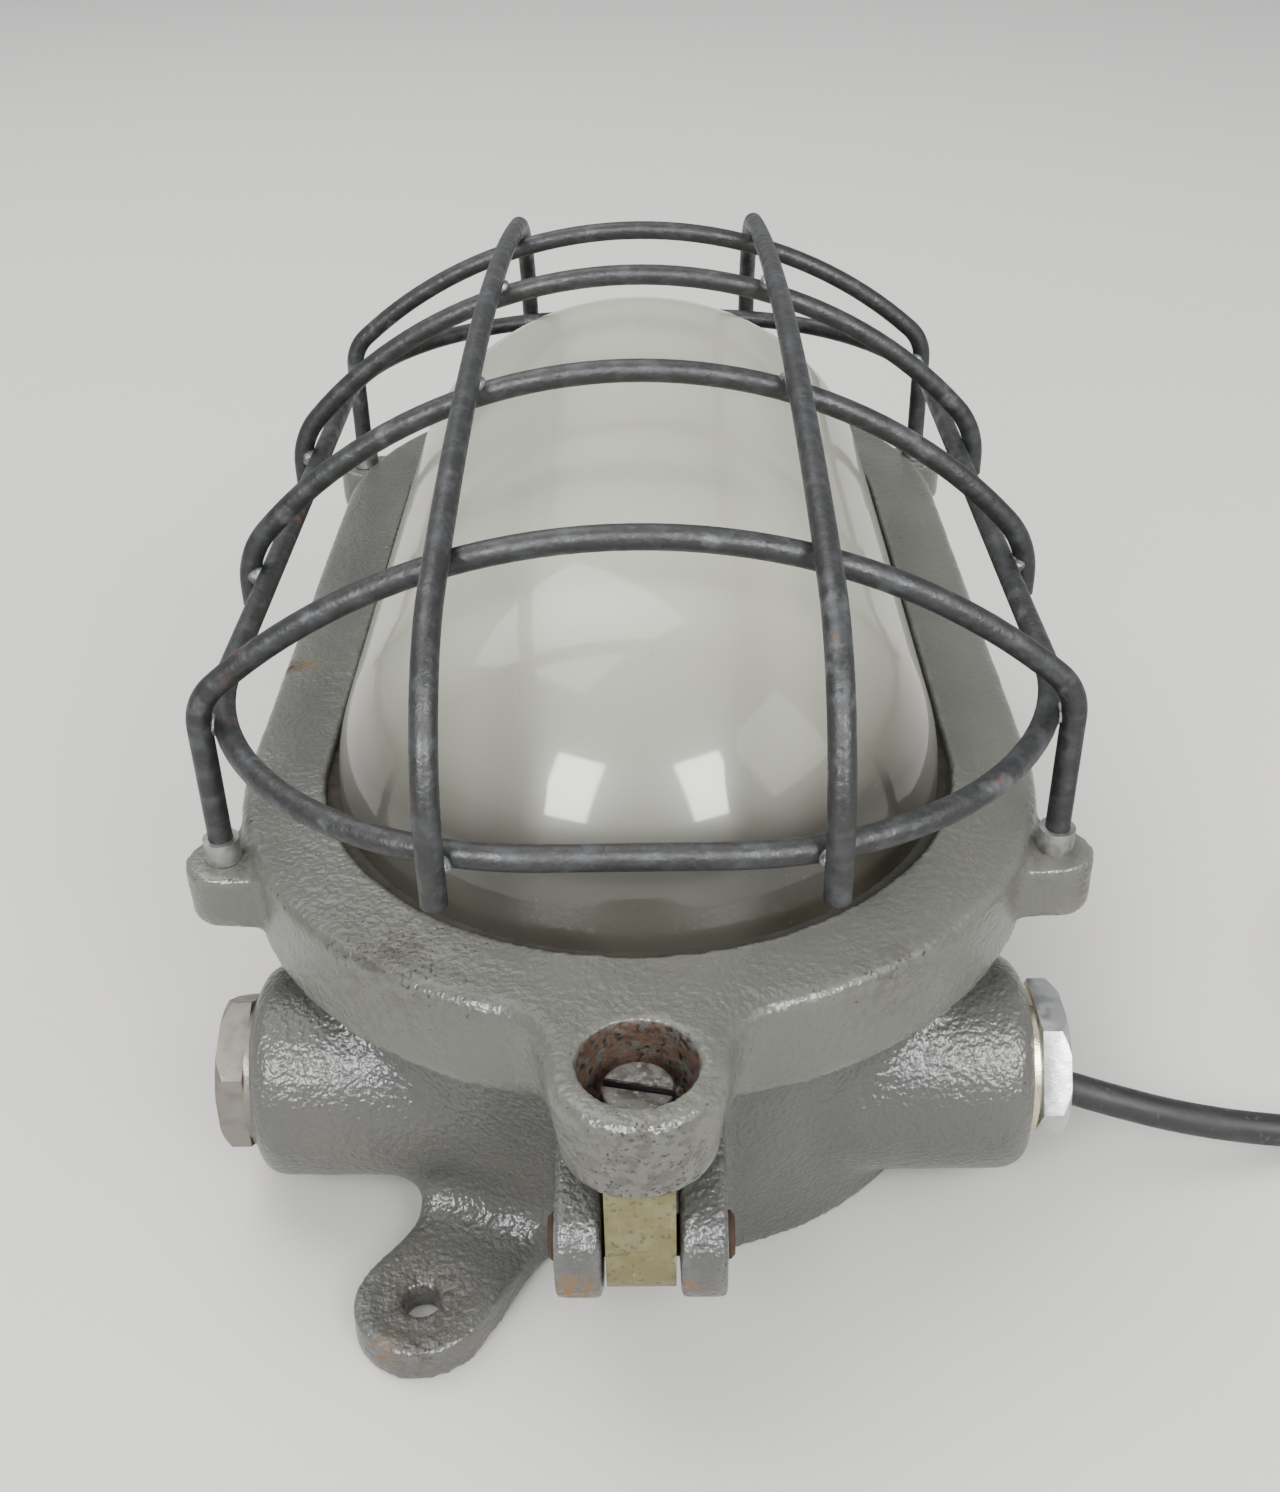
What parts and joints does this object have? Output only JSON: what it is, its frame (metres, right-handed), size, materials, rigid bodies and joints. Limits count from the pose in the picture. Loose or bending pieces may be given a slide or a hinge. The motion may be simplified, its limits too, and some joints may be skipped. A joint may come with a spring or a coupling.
{
  "type": "bulkhead light",
  "caption": "Oblong cast-iron bulkhead light with a frosted glass dome under a wire cage, a hinged cover held by a swing-nut screw, a blanked cable entry and a lead.",
  "frame": {"origin": "centre of the mounting face, on the plane that meets the wall", "axes": "+Z out of the wall through the glass dome, +Y along the length towards the cover hinge, +X towards the cable gland"},
  "size_m": [0.3674, 0.3848, 0.1557],
  "materials": {
    "casting_paint": "satin",
    "dark_wire": "satin",
    "steel": "satin",
    "zinc": "satin",
    "opal_glass": "frosted",
    "lamp_glass": "frosted",
    "cement": "matte",
    "porcelain": "gloss",
    "brass": "satin",
    "white_enamel": "gloss",
    "black_rubber": "matte",
    "moulded_plastic": "satin",
    "brown_sleeve": "matte",
    "blue_sleeve": "matte"
  },
  "bodies": {
    "base": {"base_housing": "casting_paint", "hinge_pin": "steel", "swing_nut_pin": "steel", "blank_plug": "zinc", "blank_plug_washer": "zinc", "gland_nut": "zinc", "gland_washer": "zinc", "gland_seal": "black_rubber", "tray": "white_enamel", "tray_screws": "steel", "lampholder_body": "porcelain", "lampholder_shell": "brass", "lampholder_contact": "brass", "lampholder_bracket": "steel", "bulb_glass": "lamp_glass", "bulb_cap": "zinc", "bulb_contact": "brass", "terminal_block": "porcelain", "terminal_clamps": "brass", "terminal_screws": "steel", "earth_screw": "steel", "earth_washer": "brass", "live_core": "brown_sleeve", "neutral_core": "blue_sleeve", "mains_cord_inner": "black_rubber", "mains_cord": "black_rubber", "mains_cord_coil": "black_rubber", "mains_plug_relief": "black_rubber", "mains_plug_body": "moulded_plastic", "mains_plug_pins": "brass"},
    "cover": {"cover_ring": "casting_paint", "cover_gasket": "black_rubber", "glass_dome": "opal_glass", "glass_cement": "cement", "cage_front_hoop": "dark_wire", "cage_second_hoop": "dark_wire", "cage_third_hoop": "dark_wire", "cage_rear_hoop": "dark_wire", "cage_left_bar": "dark_wire", "cage_right_bar": "dark_wire", "cage_belt": "dark_wire", "cage_leg_collars": "dark_wire"},
    "screw_seat": {"closing_washer": "steel"},
    "screw": {"closing_screw": "steel"},
    "nut": {"swing_nut": "zinc"}
  },
  "joints": [
    {"name": "cover_hinge", "type": "hinge", "parent": "base", "child": "cover", "pos_m": [0, 0.168, 0.05], "axis": [-1, 0, 0], "range_deg": [0, 110]},
    {"name": "screw_lift", "type": "slide", "parent": "cover", "child": "screw_seat", "axis": [0, 0, 1], "range_m": [0, 0.016]},
    {"name": "screw_turn", "type": "hinge", "parent": "screw_seat", "child": "screw", "pos_m": [0, -0.168, 0.067], "axis": [0, 0, 1], "range_deg": [0, 4608]},
    {"name": "swing_nut_tilt", "type": "hinge", "parent": "base", "child": "nut", "pos_m": [0, -0.168, 0.0345], "axis": [1, 0, 0], "range_deg": [0, 44]}
  ],
  "couplings": [
    {"joint": "screw_turn", "follows": "screw_lift", "rad_per_m": 5026.5},
    {"joint": "swing_nut_tilt", "follows": "cover_hinge", "ratio": 0.4}
  ]
}
